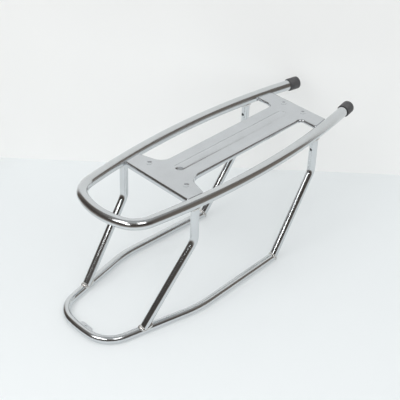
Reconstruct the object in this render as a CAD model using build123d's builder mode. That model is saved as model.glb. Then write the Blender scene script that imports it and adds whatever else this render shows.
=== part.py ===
"""Moped luggage rack: two bent tube rails, four bent struts, a pressed carrier plate, a lug and two caps.

Millimetres, +Z up, +X towards the capped rail ends, +Y left. The lower rail lies on z = 0 and the
origin is the middle of the rack's outline on that plane.
"""
from build123d import *
from math import asin, atan2, degrees, hypot, radians, sin, sqrt
import os

os.makedirs("parts", exist_ok=True)

# Overall length, from the lower rail's nose to the ends of the caps
overall_length = 498.0

# Tube sizes
upper_tube_diameter = 16.0
upper_tube_wall = 1.5
lower_tube_diameter = 12.0
lower_tube_wall = 1.5
strut_diameter = 12.0
strut_wall = 1.5

# Upper rail: height of its axis, and its bends from the nose outwards
deck_height = 180.0
upper_nose_setback = 47.0
upper_nose_radius = 115.0
upper_nose_half_angle = 20.0
upper_corner_radius = 38.5
upper_corner_angle = 60.0
upper_side_radius = 1000.0
upper_end_length = 26.7

# Lower rail: its bends and straights from the nose outwards
lower_nose_radius = 200.0
lower_nose_half_angle = 6.0
lower_corner_radius = 42.0
lower_corner_angle = 71.4
lower_taper_length = 95.6
lower_knee_radius = 160.0
lower_knee_angle = 15.2

# Rear struts: stations from the lower rail's nose axis, and the foot's distance along the taper
rear_strut_top_station = 152.0
rear_strut_bend_station = 149.0
rear_foot_distance = 26.0

# Front struts: setbacks from the front of the caps
front_strut_top_setback = 98.5
front_strut_bend_setback = 102.5
front_foot_setback = 186.5

# Bend of all struts
strut_bend_height = 119.0
strut_bend_radius = 22.0

# Plating vent holes in the front struts
vent_diameter = 4.0
vent_drop = 24.0

# Carrier plate pressed from sheet
sheet_thickness = 1.5
plate_rise = 3.0
flange_depth = 8.0
flange_front_depth = 4.5
flange_bend_radius = 4.0
plate_rear_station = 146.5
plate_front_setback = 56.5
rear_tab_length = 26.5
rear_tab_slant = 13.0
front_tab_length = 28.5
web_width = 58.0
rear_cutout_radius = 18.0
front_cutout_radius = 8.0

# Pressed bead and dimples of the carrier plate
bead_width = 17.0
bead_height = 3.5
bead_rear_margin = 38.0
bead_front_margin = 31.0
dimple_diameter = 9.5
dimple_depth = 1.9
rear_dimple_margin = 22.0
rear_dimple_spacing = 76.0
front_dimple_margin = 12.5
front_dimple_spacing = 39.0

# End caps pushed over the upper rail's ends
cap_length = 19.0
cap_wall = 1.6
cap_end_wall = 3.0
cap_fit = 0.05
cap_end_fillet = 3.5
cap_rim_fillet = 0.5

# Mounting lug inside the lower rail's nose
lug_width = 24.0
lug_reach = 13.5
lug_thickness = 2.5
lug_corner_radius = 3.5
lug_hole_diameter = 3.4
lug_hole_reach = 9.2

# Height that the lug and the mitre welds keep above the floor
floor_clearance = 0.5

# Weld beads, and the gap that each bead closes
weld_gap = 0.1
strut_weld_leg = 1.8
rail_weld_leg = 2.6
weld_rounding = 1.2
mitre_weld_width = 4.5
mitre_weld_rise = 1.4
plate_weld_leg = 2.2
plate_weld_margin = 4.0
lug_weld_leg = 1.4
lug_weld_margin = 2.0

# Values that follow from the sizes above
upper_radius = upper_tube_diameter / 2
lower_radius = lower_tube_diameter / 2
strut_radius = strut_diameter / 2
rear_datum = lower_radius - overall_length / 2
front_datum = overall_length / 2
plate_top = deck_height + plate_rise
plate_rear = rear_datum + plate_rear_station
plate_front = front_datum - plate_front_setback
cap_radius = upper_radius + cap_fit + cap_wall


def export(part, name):
    """Label a finished piece and write it to its own file."""
    part.label = name
    export_step(part, f"parts/{name}.step")


def round_bar(path, radius):
    """Solid round bar along a path, for copes and weld outlines."""
    with BuildPart() as bar:
        with BuildSketch(path ^ 0):
            Circle(radius)
        sweep(path=path)
    return bar.part


def bent_tube(path, diameter, wall):
    """Hollow tube along a path."""
    with BuildPart() as tube:
        with BuildSketch(path ^ 0):
            Circle(diameter / 2)
            Circle(diameter / 2 - wall, mode=Mode.SUBTRACT)
        sweep(path=path)
    return tube.part


# Angle of the upper rail's side bend that brings the front of the caps to the overall length
side_start_angle = 90 - upper_nose_half_angle - upper_corner_angle
side_start_x = (
    rear_datum
    + upper_nose_setback
    + upper_nose_radius * (1 - sin(radians(90 - upper_nose_half_angle)))
    + upper_corner_radius * (sin(radians(90 - upper_nose_half_angle)) - sin(radians(side_start_angle)))
)
side_reach = upper_side_radius + cap_radius - cap_end_fillet
end_reach = upper_end_length + cap_end_wall - cap_end_fillet
side_center_x = side_start_x + upper_side_radius * sin(radians(side_start_angle))
side_excess = side_center_x + cap_end_fillet - front_datum
end_angle = degrees(atan2(end_reach, side_reach) + asin(side_excess / hypot(side_reach, end_reach)))
upper_side_angle = side_start_angle - end_angle

# Upper rail's axis, bent from the nose to the left end and mirrored
with BuildLine(Plane.XY.offset(deck_height)) as upper_axis:
    upper_nose = JernArc(
        (rear_datum + upper_nose_setback, 0), (0, 1), upper_nose_radius, -upper_nose_half_angle
    )
    upper_corner = JernArc(upper_nose @ 1, upper_nose % 1, upper_corner_radius, -upper_corner_angle)
    upper_side = JernArc(upper_corner @ 1, upper_corner % 1, upper_side_radius, -upper_side_angle)
    upper_end = PolarLine(upper_side @ 1, upper_end_length, direction=upper_side % 1)
    mirror(about=Plane.XZ)
upper_path = upper_axis.wire()
end_heading = upper_end % 1


def upper_rail_y(x):
    """Half width of the upper rail's axis where its long side bend crosses x."""
    center = upper_side.arc_center
    return center.Y + sqrt(upper_side_radius**2 - (x - center.X) ** 2)


# Lower rail's axis, bent from the nose to the left leg and mirrored
with BuildLine(Plane.XY.offset(lower_radius)) as lower_axis:
    lower_nose = JernArc((rear_datum, 0), (0, 1), lower_nose_radius, -lower_nose_half_angle)
    lower_corner = JernArc(lower_nose @ 1, lower_nose % 1, lower_corner_radius, -lower_corner_angle)
    lower_taper = PolarLine(lower_corner @ 1, lower_taper_length, direction=lower_corner % 1)
    lower_knee = JernArc(lower_taper @ 1, lower_taper % 1, lower_knee_radius, -lower_knee_angle)
    leg_length = (front_datum - front_foot_setback - (lower_knee @ 1).X) / (lower_knee % 1).X
    lower_leg = PolarLine(lower_knee @ 1, leg_length, direction=lower_knee % 1)
    # Stock past the corner, taken off again by the mitre
    lower_stock = PolarLine(lower_leg @ 1, lower_tube_diameter, direction=lower_leg % 1)
    mirror(about=Plane.XZ)
lower_path = lower_axis.wire()


def strut_axis(top_x, bend_x, foot, stock=0.0):
    """Axis of a left strut from the upper rail, round its bend, to its foot and past it by the stock."""
    top = Vector(top_x, upper_rail_y(top_x), deck_height)
    bend = Vector(bend_x, top.Y, strut_bend_height)
    toe = foot + (foot - bend).normalized() * stock
    with BuildLine() as axis:
        FilletPolyline(top, bend, toe, radius=strut_bend_radius)
    return axis.wire()


rear_foot = lower_taper @ (rear_foot_distance / lower_taper_length)
front_foot = lower_leg @ 1
rear_path = strut_axis(rear_datum + rear_strut_top_station, rear_datum + rear_strut_bend_station, rear_foot)
front_path = strut_axis(
    front_datum - front_strut_top_setback,
    front_datum - front_strut_bend_setback,
    front_foot,
    stock=strut_diameter,
)

# Mitre between the lower rail's leg and the front strut that rises from its end
leg_heading = lower_leg % 1
strut_heading = front_path % 1
mitre_left = Plane(
    front_foot, x_dir=leg_heading.cross(strut_heading), z_dir=leg_heading - strut_heading
)
mitre_right = Plane(
    (front_foot.X, -front_foot.Y, front_foot.Z),
    z_dir=(mitre_left.z_dir.X, -mitre_left.z_dir.Y, mitre_left.z_dir.Z),
)
mitre_block = 3 * max(lower_tube_diameter, strut_diameter)


def mitred_legs(rail):
    """A solid along the lower rail with both legs cut at their mitres."""
    with BuildPart() as legs:
        add(rail)
        with Locations(mitre_left, mitre_right):
            Box(
                mitre_block,
                mitre_block,
                mitre_block,
                align=(Align.CENTER, Align.CENTER, Align.MIN),
                mode=Mode.SUBTRACT,
            )
    return legs.part


# Round bars that the other pieces are coped to
upper_cope = round_bar(upper_path, upper_radius + weld_gap)
lower_cope = round_bar(lower_path, lower_radius + weld_gap)

# Upper rail
export(bent_tube(upper_path, upper_tube_diameter, upper_tube_wall), "upper_rail")

# Lower rail, with both legs mitred
export(mitred_legs(bent_tube(lower_path, lower_tube_diameter, lower_tube_wall)), "lower_rail")

# Rear struts, coped to both rails
rear_tube = bent_tube(rear_path, strut_diameter, strut_wall)
with BuildPart() as rear_strut:
    add(rear_tube)
    add(upper_cope, mode=Mode.SUBTRACT)
    add(lower_cope, mode=Mode.SUBTRACT)

# Front struts, coped to the upper rail, mitred to the lower one and vented on the rear side
front_tube = bent_tube(front_path, strut_diameter, strut_wall)
vent_center = (front_path @ 0) + (front_path % 0) * vent_drop
with BuildPart() as front_strut:
    add(front_tube)
    add(upper_cope, mode=Mode.SUBTRACT)
    split(bisect_by=mitre_left, keep=Keep.TOP)
    with BuildSketch(Plane(vent_center, z_dir=(-1, 0, 0))):
        Circle(vent_diameter / 2)
    extrude(amount=strut_diameter, mode=Mode.SUBTRACT)

for name, strut in (("rear_strut", rear_strut), ("front_strut", front_strut)):
    export(strut.part, f"{name}_left")
    export(mirror(strut.part, about=Plane.XZ), f"{name}_right")


# Carrier plate: half outline with the two tabs that reach the rail and the cut-out between them
rear_tab_root = plate_rear + rear_tab_length + rear_tab_slant
front_tab_root = plate_front - front_tab_length
with BuildSketch() as plate_outline:
    with BuildLine() as plate_edge:
        Polyline(
            (plate_rear, 0),
            (plate_rear, upper_rail_y(plate_rear)),
            (plate_rear + rear_tab_length, upper_rail_y(plate_rear + rear_tab_length)),
            (rear_tab_root, web_width / 2),
            (front_tab_root, web_width / 2),
            (front_tab_root, upper_rail_y(front_tab_root)),
            (plate_front, upper_rail_y(plate_front)),
            (plate_front, 0),
        )
        mirror(about=Plane.XZ)
    make_face()
    web_corners = plate_outline.vertices().filter_by(lambda v: abs(abs(v.Y) - web_width / 2) < 0.01)
    fillet(web_corners.group_by(Axis.X)[0], rear_cutout_radius)
    fillet(web_corners.group_by(Axis.X)[-1], front_cutout_radius)
with BuildSketch() as plate_hollow:
    add(plate_outline.sketch)
    offset(amount=-sheet_thickness, mode=Mode.REPLACE)

# Pressed bead: a bar with round ends, whose crown stands above the sheet
bead_crown_radius = ((bead_width / 2) ** 2 + bead_height**2) / (2 * bead_height)
bead_axis_height = plate_top + bead_height - bead_crown_radius
bead_ends = (
    (plate_rear + bead_rear_margin + bead_width / 2, 0, bead_axis_height),
    (plate_front - bead_front_margin - bead_width / 2, 0, bead_axis_height),
)


def pressed_bead(radius, base):
    """The part above a base height of a bar with round ends along the bead."""
    with BuildPart() as bead:
        with BuildSketch(Plane(bead_ends[0], z_dir=(1, 0, 0))):
            Circle(radius)
        extrude(amount=bead_ends[1][0] - bead_ends[0][0])
        with Locations(*bead_ends):
            Sphere(radius)
        split(bisect_by=Plane.XY.offset(base), keep=Keep.TOP)
    return bead.part


bead_crown = pressed_bead(bead_crown_radius, plate_top - sheet_thickness / 2)
bead_recess = pressed_bead(bead_crown_radius - sheet_thickness, plate_top - flange_depth)

# Dimples: shallow round hollows on top that bulge below
dimple_radius = ((dimple_diameter / 2) ** 2 + dimple_depth**2) / (2 * dimple_depth)
dimple_center_height = plate_top + dimple_radius - dimple_depth
dimple_places = [
    (x, side * spacing / 2, dimple_center_height)
    for x, spacing in (
        (plate_rear + rear_dimple_margin, rear_dimple_spacing),
        (plate_front - front_dimple_margin, front_dimple_spacing),
    )
    for side in (1, -1)
]
with BuildPart() as dimple_bulges:
    with Locations(*dimple_places):
        Sphere(dimple_radius + sheet_thickness)
    split(bisect_by=Plane.XY.offset(plate_top - sheet_thickness / 2), keep=Keep.BOTTOM)

# Lower edge of the turned-down edges, which rises from the rear tabs to the front
flange_slope = (flange_depth - flange_front_depth) / (plate_front - rear_tab_root)
flange_edge = Plane((rear_tab_root, 0, plate_top - flange_depth), z_dir=(-flange_slope, 0, 1))

# Carrier plate: sheet with turned-down edges, coped to the upper rail
with BuildPart() as plate_block:
    with BuildSketch(Plane.XY.offset(plate_top - flange_depth)):
        add(plate_outline.sketch)
    extrude(amount=flange_depth)
    fillet(plate_block.faces().sort_by(Axis.Z)[-1].edges(), flange_bend_radius)
with BuildPart() as plate_core:
    with BuildSketch(Plane.XY.offset(plate_top - flange_depth)):
        add(plate_hollow.sketch)
    extrude(amount=flange_depth - sheet_thickness)
    fillet(plate_core.faces().sort_by(Axis.Z)[-1].edges(), flange_bend_radius - sheet_thickness)
with BuildPart() as carrier_plate:
    add(plate_block.part)
    add(plate_core.part, mode=Mode.SUBTRACT)
    add(bead_crown)
    add(bead_recess, mode=Mode.SUBTRACT)
    add(dimple_bulges.part)
    with Locations(*dimple_places):
        Sphere(dimple_radius, mode=Mode.SUBTRACT)
    add(upper_cope, mode=Mode.SUBTRACT)
    split(bisect_by=flange_edge, keep=Keep.TOP)
export(carrier_plate.part, "carrier_plate")

# End caps: cups over the upper rail's straight ends
cap_bore_depth = cap_length - cap_end_wall
cap_mouth = Plane((upper_end @ 1) - end_heading * cap_bore_depth, z_dir=end_heading)
cap_axis = Axis(cap_mouth.origin, end_heading)
with BuildPart() as end_cap:
    with BuildSketch(cap_mouth):
        Circle(cap_radius)
    extrude(amount=cap_length)
    fillet(end_cap.edges().filter_by(GeomType.CIRCLE).sort_by(cap_axis)[-1], cap_end_fillet)
    fillet(end_cap.edges().filter_by(GeomType.CIRCLE).sort_by(cap_axis)[0], cap_rim_fillet)
    with BuildSketch(cap_mouth):
        Circle(upper_radius + cap_fit)
    extrude(amount=cap_bore_depth, mode=Mode.SUBTRACT)
export(end_cap.part, "end_cap_left")
export(mirror(end_cap.part, about=Plane.XZ), "end_cap_right")

# Mounting lug, coped to the inside of the lower rail's nose
lug_top = floor_clearance + lug_thickness
with BuildPart() as mudguard_lug:
    with BuildSketch(Plane.XY.offset(floor_clearance)) as lug_outline:
        with Locations((rear_datum + lug_reach / 2, 0)):
            Rectangle(lug_reach, lug_width)
        fillet(lug_outline.vertices().group_by(Axis.X)[-1], lug_corner_radius)
        with Locations((rear_datum + lug_hole_reach, 0)):
            Circle(lug_hole_diameter / 2, mode=Mode.SUBTRACT)
    extrude(amount=lug_thickness)
    add(lower_cope, mode=Mode.SUBTRACT)
export(mudguard_lug.part, "mudguard_lug")

# Bars that the weld beads sit on
upper_bar = round_bar(upper_path, upper_radius)
lower_bar = round_bar(lower_path, lower_radius)
rear_bar = round_bar(rear_path, strut_radius)
front_bar = round_bar(front_path, strut_radius)


def weld_bead(limits, bars, references, rounding):
    """Solid inside the limits and outside the bars, with the edge farthest from the references rounded."""
    with BuildPart() as bead:
        add(limits[0])
        for limit in limits[1:]:
            add(limit, mode=Mode.INTERSECT)
        for bar in bars:
            add(bar, mode=Mode.SUBTRACT)
        fillet(max(bead.edges(), key=lambda edge: sum(edge.distance_to(r) for r in references)), rounding)
    return bead.part


def saddle_weld(strut_path, strut_bar, rail_path, rail_bar, rail_radius):
    """Bead round a strut's coped end."""
    limits = (
        round_bar(strut_path, strut_radius + strut_weld_leg),
        round_bar(rail_path, rail_radius + rail_weld_leg),
    )
    return weld_bead(limits, (strut_bar, rail_bar), (strut_path, rail_path), weld_rounding)


# Welds under the upper rail, kept clear of the carrier plate
with BuildPart() as strut_top_welds:
    add(saddle_weld(rear_path, rear_bar, upper_path, upper_bar, upper_radius))
    add(saddle_weld(front_path, front_bar, upper_path, upper_bar, upper_radius))
    with BuildSketch(Plane.XY.offset(plate_top - flange_depth - weld_gap)):
        offset(plate_outline.sketch, amount=weld_gap)
    extrude(amount=flange_depth, mode=Mode.SUBTRACT)
    mirror(about=Plane.XZ)
export(strut_top_welds.part, "strut_top_welds")


# Bead round the left mitre: a round section along the mitre's outline
mitre_weld_radius = ((mitre_weld_width / 2) ** 2 + mitre_weld_rise**2) / (2 * mitre_weld_rise)
mitre_ring_radius = lower_radius + mitre_weld_rise - mitre_weld_radius
mitre_slope = leg_heading.dot(mitre_left.z_dir)
with BuildLine(mitre_left) as mitre_ring:
    EllipticalCenterArc((0, 0), mitre_ring_radius, mitre_ring_radius / mitre_slope, arc_size=360)
mitre_round = round_bar(mitre_ring.wire(), mitre_weld_radius)
mitred_lower_bar = mitred_legs(lower_bar)
with BuildPart() as mitred_front_bar:
    add(front_bar)
    split(bisect_by=mitre_left, keep=Keep.TOP)
with BuildPart() as mitre_weld:
    add(mitre_round)
    add(mitred_lower_bar, mode=Mode.SUBTRACT)
    add(mitred_front_bar.part, mode=Mode.SUBTRACT)
    split(bisect_by=Plane.XY.offset(floor_clearance), keep=Keep.TOP)

# Welds on the lower rail: saddles at the rear struts' feet and beads round the front mitres
with BuildPart() as strut_foot_welds:
    add(saddle_weld(rear_path, rear_bar, lower_path, lower_bar, lower_radius))
    add(mitre_weld.part)
    mirror(about=Plane.XZ)
export(strut_foot_welds.part, "strut_foot_welds")


def tab_weld(tab_rear, tab_front):
    """Bead along the upper rail under one tab of the carrier plate."""
    sheet_underside = plate_top - sheet_thickness
    run = tab_front - tab_rear - 2 * plate_weld_margin
    rail_y = upper_rail_y((tab_rear + tab_front) / 2)
    with BuildPart() as space:
        with Locations(((tab_rear + tab_front) / 2, rail_y, sheet_underside)):
            Box(run, upper_tube_diameter * 2, plate_weld_leg, align=(Align.CENTER, Align.MAX, Align.MAX))
    limits = (space.part, round_bar(upper_path, upper_radius + plate_weld_leg))
    underside = Face.make_rect(overall_length, overall_length, Plane.XY.offset(sheet_underside))
    return weld_bead(limits, (upper_bar,), (upper_path, underside), plate_weld_leg / 2)


# Welds that hold the carrier plate's tabs
with BuildPart() as plate_welds:
    add(tab_weld(plate_rear, plate_rear + rear_tab_length))
    add(tab_weld(front_tab_root, plate_front))
    mirror(about=Plane.XZ)
export(plate_welds.part, "plate_welds")

# Weld along the top of the lug
lug_weld_bar = round_bar(lower_path, lower_radius + lug_weld_leg)
with BuildPart() as lug_weld:
    with Locations((rear_datum, 0, lug_top)):
        Box(
            lug_reach,
            lug_width - 2 * lug_weld_margin,
            lug_weld_leg,
            align=(Align.MIN, Align.CENTER, Align.MIN),
        )
    add(lug_weld_bar, mode=Mode.INTERSECT)
    add(lower_bar, mode=Mode.SUBTRACT)
    fillet(lug_weld.faces().sort_by(Axis.Z)[-1].edges().group_by(Axis.X)[-1], lug_weld_leg / 2)
export(lug_weld.part, "lug_weld")
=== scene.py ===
"""Dresses a welded tube luggage rack: chrome tubes, a pressed carrier plate, rippled welds and rubber caps.

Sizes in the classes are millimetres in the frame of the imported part: +X forward, +Y left, +Z up.
"""

import logging
import math
from dataclasses import dataclass
from enum import Enum
from typing import Any

import bmesh
import bpy
import numpy as np
from mathutils import Matrix, Vector
from mathutils.geometry import delaunay_2d_cdt


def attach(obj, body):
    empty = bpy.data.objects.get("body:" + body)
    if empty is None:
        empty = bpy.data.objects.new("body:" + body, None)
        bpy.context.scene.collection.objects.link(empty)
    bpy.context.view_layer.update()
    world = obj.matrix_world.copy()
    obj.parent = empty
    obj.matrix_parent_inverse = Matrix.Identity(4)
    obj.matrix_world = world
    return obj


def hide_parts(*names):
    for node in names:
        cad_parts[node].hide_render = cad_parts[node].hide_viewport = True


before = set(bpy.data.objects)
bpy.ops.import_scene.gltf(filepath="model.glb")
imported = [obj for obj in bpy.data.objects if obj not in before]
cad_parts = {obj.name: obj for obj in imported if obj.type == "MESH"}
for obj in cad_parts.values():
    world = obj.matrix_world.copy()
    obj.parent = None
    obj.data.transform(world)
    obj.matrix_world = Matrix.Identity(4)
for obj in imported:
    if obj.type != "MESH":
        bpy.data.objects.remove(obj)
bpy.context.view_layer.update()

# Metres in a millimetre
MM = 0.001
# Gaps in millimetres under which points merge, slivers go and level points count as one
MERGE_GAP = 0.002
SLIVER_GAP = 0.0001
LEVEL_GAP = 1e-5
# Turn in radians under which a stretch of tube is straight
STRAIGHT_TURN = 1e-9
# Edges that turn by more degrees than this stay sharp
CREASE_DEG = 40.0
FORWARD = np.array([1.0, 0.0, 0.0])
LEFT = np.array([0.0, 1.0, 0.0])
UP = np.array([0.0, 0.0, 1.0])
log = logging.getLogger("rack")


class Side(Enum):
    """Which half of the rack a piece is on, as the sign of its y."""

    LEFT = 1.0
    RIGHT = -1.0


class Foot(Enum):
    """How a strut's lower end meets the lower rail."""

    COPED = "coped onto the tube's side"
    MITRED = "mitred to the tube's end"


def unit(vector: np.ndarray) -> np.ndarray:
    """Scale vectors along the last axis to length one."""
    return vector / np.linalg.norm(vector, axis=-1, keepdims=True)


def mirrored(points: np.ndarray, side: Side) -> np.ndarray:
    """Copy left-hand points to a side by the sign of y."""
    return points * np.array([1.0, side.value, 1.0])


def linear(code: str) -> tuple[float, float, float, float]:
    """Turn an sRGB hex value into linear RGBA.

    Args:
        code: six hex digits, with or without a leading hash.

    Returns:
        Linear red, green, blue and an alpha of one.
    """
    digits = code.lstrip("#")
    channels = [int(digits[i : i + 2], 16) / 255 for i in (0, 2, 4)]
    red, green, blue = (c / 12.92 if c <= 0.04045 else ((c + 0.055) / 1.055) ** 2.4 for c in channels)
    return red, green, blue, 1.0


def dimmed(colour: tuple[float, float, float, float], share: float) -> tuple[float, ...]:
    """Scale a linear colour and keep its alpha."""
    return tuple(share * c for c in colour[:3]) + (colour[3],)


def add_node(tree: Any, kind: str, settings: dict[str, Any], inputs: dict[Any, Any]) -> Any:
    """Add a shader node with its settings, values and links.

    Args:
        tree: node tree that takes the node.
        kind: Blender's node type.
        settings: node properties by name.
        inputs: sockets by name or number, each a value or an output socket to link from.

    Returns:
        The new node.
    """
    node = tree.nodes.new(kind)
    for name, value in settings.items():
        setattr(node, name, value)
    for name, value in inputs.items():
        if isinstance(value, bpy.types.NodeSocket):
            tree.links.new(value, node.inputs[name])
        else:
            node.inputs[name].default_value = value
    return node


def new_material(name: str) -> tuple[Any, Any, Any]:
    """Make an empty node material.

    Args:
        name: the material's name.

    Returns:
        The material, its node tree and the output socket of its Object coordinates.
    """
    material = bpy.data.materials.new(name)
    material.use_nodes = True
    tree = material.node_tree
    tree.nodes.clear()
    return material, tree, add_node(tree, "ShaderNodeTexCoord", {}, {}).outputs["Object"]


def show(tree: Any, shader: Any) -> None:
    """Put a shader node on a material's surface."""
    add_node(tree, "ShaderNodeOutputMaterial", {}, {"Surface": shader.outputs[0]})


def set_ramp(node: Any, stops: list[tuple[float, tuple[float, ...]]]) -> None:
    """Give a colour ramp its stops.

    Args:
        node: the ramp's node.
        stops: places from none to one and linear colours, in order.
    """
    elements = node.color_ramp.elements
    while len(elements) < len(stops):
        elements.new(1.0)
    for element, (place, colour) in zip(elements, stops):
        element.position = place
        element.color = colour


@dataclass(frozen=True)
class ChromePlate:
    """Chrome plate on steel: a mirror with faint clouding, so reflections have soft edges here and there.

    The steel is polished before plating, which leaves long low waves. Handling leaves faint clouds. Grain is
    drawn coarser than plating has it, so that it shows.
    """

    name: str
    colour: str
    roughness: float
    clouded: float
    cloud_mm: float
    wave_mm: float
    wave_depth_mm: float
    grain_mm: float = 0.0
    grain_depth_mm: float = 0.0
    # Noise values where clouding and tint start and are full, and the brightness left there
    cloud_start: float = 0.42
    cloud_full: float = 0.72
    tint_start: float = 0.35
    tint_full: float = 0.75
    dull_share: float = 0.93

    def material(self) -> Any:
        """Build the node material.

        Returns:
            A metallic material whose roughness and tint follow noise, with a bump of long waves, and of
            grain where it has any.
        """
        material, tree, place = new_material(self.name)
        cloud = add_node(
            tree,
            "ShaderNodeTexNoise",
            {},
            {"Vector": place, "Scale": 1 / (self.cloud_mm * MM), "Detail": 5.0, "Roughness": 0.6},
        )
        spread = add_node(
            tree,
            "ShaderNodeMapRange",
            {"interpolation_type": "SMOOTHSTEP"},
            {
                "Value": cloud.outputs["Fac"],
                "From Min": self.cloud_start,
                "From Max": self.cloud_full,
                "To Min": self.roughness,
                "To Max": self.clouded,
            },
        )
        tint = add_node(tree, "ShaderNodeValToRGB", {}, {"Fac": cloud.outputs["Fac"]})
        base = linear(self.colour)
        set_ramp(tint, [(self.tint_start, base), (self.tint_full, dimmed(base, self.dull_share))])
        wave = add_node(
            tree,
            "ShaderNodeTexNoise",
            {},
            {"Vector": place, "Scale": 1 / (self.wave_mm * MM), "Detail": 1.0},
        )
        bump = add_node(
            tree,
            "ShaderNodeBump",
            {},
            {"Height": wave.outputs["Fac"], "Distance": self.wave_depth_mm * MM, "Strength": 1.0},
        )
        if self.grain_mm > 0:
            grain = add_node(
                tree,
                "ShaderNodeTexNoise",
                {},
                {"Vector": place, "Scale": 1 / (self.grain_mm * MM), "Detail": 3.0},
            )
            bump = add_node(
                tree,
                "ShaderNodeBump",
                {},
                {
                    "Height": grain.outputs["Fac"],
                    "Distance": self.grain_depth_mm * MM,
                    "Strength": 1.0,
                    "Normal": bump.outputs["Normal"],
                },
            )
        shader = add_node(
            tree,
            "ShaderNodeBsdfPrincipled",
            {},
            {
                "Base Color": tint.outputs["Color"],
                "Metallic": 1.0,
                "Roughness": spread.outputs["Result"],
                "Normal": bump.outputs["Normal"],
            },
        )
        show(tree, shader)
        return material


@dataclass(frozen=True)
class MouldedRubber:
    """Black moulded rubber: nearly matt, a little grey from bloom and dust, with a fine orange-peel skin."""

    name: str = "moulded_black_rubber"
    colour: str = "#454547"
    bloom: str = "#545354"
    roughness: float = 0.52
    skin_mm: float = 0.7
    skin_depth_mm: float = 0.03
    bloom_mm: float = 9.0
    bloom_start: float = 0.35
    bloom_full: float = 0.7

    def material(self) -> Any:
        """Build the node material.

        Returns:
            A dielectric material with bloom from wide noise and a skin from fine noise.
        """
        material, tree, place = new_material(self.name)
        wide = add_node(
            tree,
            "ShaderNodeTexNoise",
            {},
            {"Vector": place, "Scale": 1 / (self.bloom_mm * MM), "Detail": 4.0},
        )
        tint = add_node(tree, "ShaderNodeValToRGB", {}, {"Fac": wide.outputs["Fac"]})
        set_ramp(tint, [(self.bloom_start, linear(self.colour)), (self.bloom_full, linear(self.bloom))])
        fine = add_node(
            tree,
            "ShaderNodeTexNoise",
            {},
            {"Vector": place, "Scale": 1 / (self.skin_mm * MM), "Detail": 2.0},
        )
        bump = add_node(
            tree,
            "ShaderNodeBump",
            {},
            {"Height": fine.outputs["Fac"], "Distance": self.skin_depth_mm * MM, "Strength": 1.0},
        )
        shader = add_node(
            tree,
            "ShaderNodeBsdfPrincipled",
            {},
            {
                "Base Color": tint.outputs["Color"],
                "Roughness": self.roughness,
                "Normal": bump.outputs["Normal"],
            },
        )
        show(tree, shader)
        return material


@dataclass(frozen=True)
class PaintedVentShade:
    """Painted shade for the vent: near-black colour, mottled as by scale, put on the shallow vent's faces to
    stand in for the unlit inside of the tube.
    """

    name: str = "dark_tube_hollow"
    colour: str = "#080707"
    # Colour of the scale, the size of its mottles, and the noise values where it starts and is full
    scale: str = "#100e0d"
    scale_mm: float = 10 / 9
    scale_start: float = 0.3
    scale_full: float = 0.8
    roughness: float = 0.8

    def material(self) -> Any:
        """Build the node material.

        Returns:
            A dark matt material of painted shade with a little mottling.
        """
        material, tree, place = new_material(self.name)
        mottle = add_node(
            tree, "ShaderNodeTexNoise", {}, {"Vector": place, "Scale": 1 / (self.scale_mm * MM)}
        )
        tint = add_node(tree, "ShaderNodeValToRGB", {}, {"Fac": mottle.outputs["Fac"]})
        set_ramp(tint, [(self.scale_start, linear(self.colour)), (self.scale_full, linear(self.scale))])
        shader = add_node(
            tree,
            "ShaderNodeBsdfPrincipled",
            {},
            {"Base Color": tint.outputs["Color"], "Roughness": self.roughness},
        )
        show(tree, shader)
        return material


@dataclass(frozen=True)
class Finishes:
    """The materials of the rack, one per slot of the record and one of painted shade for the vent holes."""

    bright: Any
    satin: Any
    weld: Any
    rubber: Any
    hollow: Any

    @classmethod
    def build(cls) -> "Finishes":
        """Make every material once.

        Returns:
            The rack's materials.
        """
        # Polished tube: a clear mirror that bends a little in long waves
        bright = ChromePlate(
            name="polished_chrome_plate",
            colour="#d8dbdd",
            roughness=0.12,
            clouded=0.22,
            cloud_mm=55.0,
            wave_mm=34.0,
            wave_depth_mm=0.045,
        )
        # Pressed sheet: a softer mirror, greyed by a fine grain
        satin = ChromePlate(
            name="satin_chrome_plate",
            colour="#d4d7da",
            roughness=0.16,
            clouded=0.26,
            cloud_mm=48.0,
            wave_mm=60.0,
            wave_depth_mm=0.10,
            grain_mm=0.8,
            grain_depth_mm=0.003,
        )
        # Plated weld: bright and uneven, so that its puddles sparkle
        weld = ChromePlate(
            name="plated_weld_bead",
            colour="#dcdbd9",
            roughness=0.10,
            clouded=0.24,
            cloud_mm=4.0,
            wave_mm=6.0,
            wave_depth_mm=0.12,
            grain_mm=0.9,
            grain_depth_mm=0.05,
        )
        return cls(
            bright=bright.material(),
            satin=satin.material(),
            weld=weld.material(),
            rubber=MouldedRubber().material(),
            # Near-black painted shade for the vent holes
            hollow=PaintedVentShade().material(),
        )


def add_object(name: str, data: Any) -> Any:
    """Add an object with its mesh, lamp or camera to the scene.

    Args:
        name: the object's name.
        data: what the object shows.

    Returns:
        The new object.
    """
    thing = bpy.data.objects.new(name, data)
    bpy.context.scene.collection.objects.link(thing)
    return thing


def smooth(mesh: Any, crease_deg: float) -> None:
    """Shade a mesh smooth, apart from edges that turn by more than the crease."""
    mesh.polygons.foreach_set("use_smooth", np.ones(len(mesh.polygons), dtype=bool))
    mesh.set_sharp_from_angle(angle=math.radians(crease_deg))


def thicken(piece: Any, thickness: float) -> Any:
    """Give an upper skin its thickness downwards.

    Args:
        piece: the skin's object.
        thickness: depth of the wall.

    Returns:
        The modifier that makes the wall.
    """
    wall = piece.modifiers.new("thickness", "SOLIDIFY")
    wall.thickness = thickness * MM
    wall.offset = -1.0
    return wall


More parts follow.
